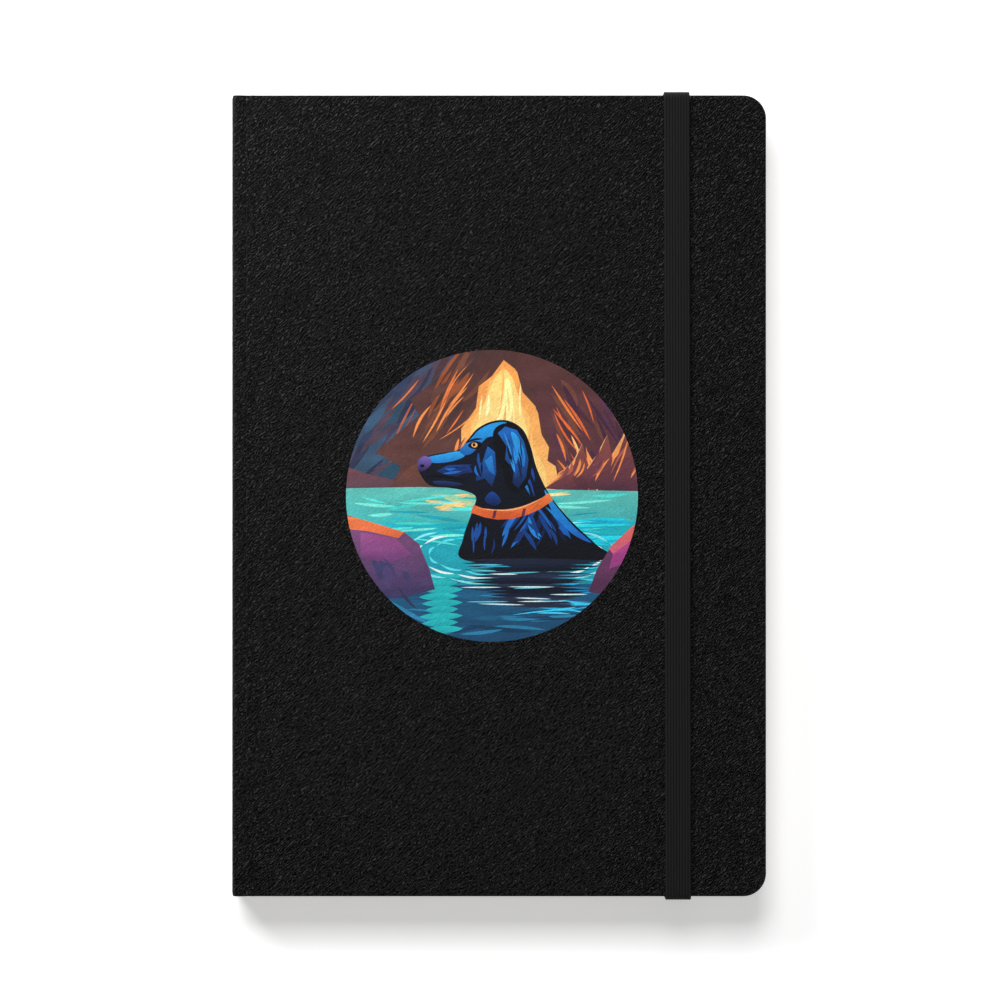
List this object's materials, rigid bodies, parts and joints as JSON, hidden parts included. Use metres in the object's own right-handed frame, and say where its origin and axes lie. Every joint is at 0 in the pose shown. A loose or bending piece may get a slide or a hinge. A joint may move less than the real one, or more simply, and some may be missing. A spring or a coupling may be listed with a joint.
{
  "type": "hardcover journal",
  "caption": "Black hardcover journal with sewn pages, a round printed picture on the front cover, an elastic closure band and an inside back pocket.",
  "frame": {"origin": "middle of the back cover's outer face, under the middle of the closed book", "axes": "+X from the spine to the fore-edge, +Y from the tail to the head, +Z from the back cover to the front cover"},
  "size_m": [0.144, 0.218, 0.0166],
  "materials": {
    "leatherette": "satin",
    "greyboard": "matte",
    "endpaper": "matte",
    "page_paper": "matte",
    "pocket_card": "matte",
    "pocket_cloth": "matte",
    "elastic": "matte",
    "ribbon": "satin",
    "linen_thread": "matte",
    "mull_gauze": "matte",
    "spine_card": "matte",
    "print_film": "satin"
  },
  "bodies": {
    "back_cover": {"back_board": "greyboard", "back_cover_skin": "leatherette", "back_pastedown": "endpaper", "elastic_tabs": "elastic", "pocket_gussets": "pocket_cloth"},
    "pocket": {"pocket_panel": "pocket_card"},
    "rear_pages": {"back_flyleaf": "endpaper", "signature_10": "page_paper", "signature_09": "page_paper", "signature_08": "page_paper", "signature_07": "page_paper", "signature_06": "page_paper", "sewing_thread_rear": "linen_thread", "ribbon_marker": "ribbon", "spine_mull": "mull_gauze", "spine_card": "spine_card", "spine_skin": "leatherette"},
    "front_pages": {"front_flyleaf": "endpaper", "signature_01": "page_paper", "signature_02": "page_paper", "signature_03": "page_paper", "signature_04": "page_paper", "signature_05": "page_paper", "sewing_thread_front": "linen_thread"},
    "front_cover": {"front_board": "greyboard", "front_cover_skin": "leatherette", "front_pastedown": "endpaper", "cover_print": "print_film"},
    "elastic": {"elastic_band": "elastic"}
  },
  "joints": [
    {"name": "back_opening", "type": "hinge", "parent": "back_cover", "child": "rear_pages", "pos_m": [-0.072, 0, 0.0078], "axis": [0, -1, 0], "range_deg": [0, 180], "deforming": ["spine_skin", "spine_card", "spine_mull"]},
    {"name": "middle_opening", "type": "hinge", "parent": "rear_pages", "child": "front_pages", "pos_m": [-0.072, 0, 0.0078], "axis": [0, -1, 0], "range_deg": [0, 180], "deforming": ["spine_skin", "spine_card", "spine_mull"]},
    {"name": "front_cover_opening", "type": "hinge", "parent": "front_pages", "child": "front_cover", "pos_m": [-0.068, 0, 0.0156], "axis": [0, -1, 0], "range_deg": [0, 178], "deforming": ["spine_skin", "spine_card", "spine_mull"]},
    {"name": "elastic_release", "type": "hinge", "parent": "back_cover", "child": "elastic", "pos_m": [0.0481, 0, 0.002], "axis": [0, 1, 0], "range_deg": [0, 180], "stiffness_Nm_per_rad": 0.02, "springref_deg": -28.65, "deforming": ["elastic_band"]},
    {"name": "pocket_opening", "type": "hinge", "parent": "back_cover", "child": "pocket", "pos_m": [0.0655, 0, 0.00305], "axis": [0, 1, 0], "range_deg": [0, 2.1], "deforming": ["pocket_gussets"]}
  ],
  "couplings": [
    {"joint": "pocket_opening", "follows": "back_opening", "ratio": 0.0116}
  ]
}
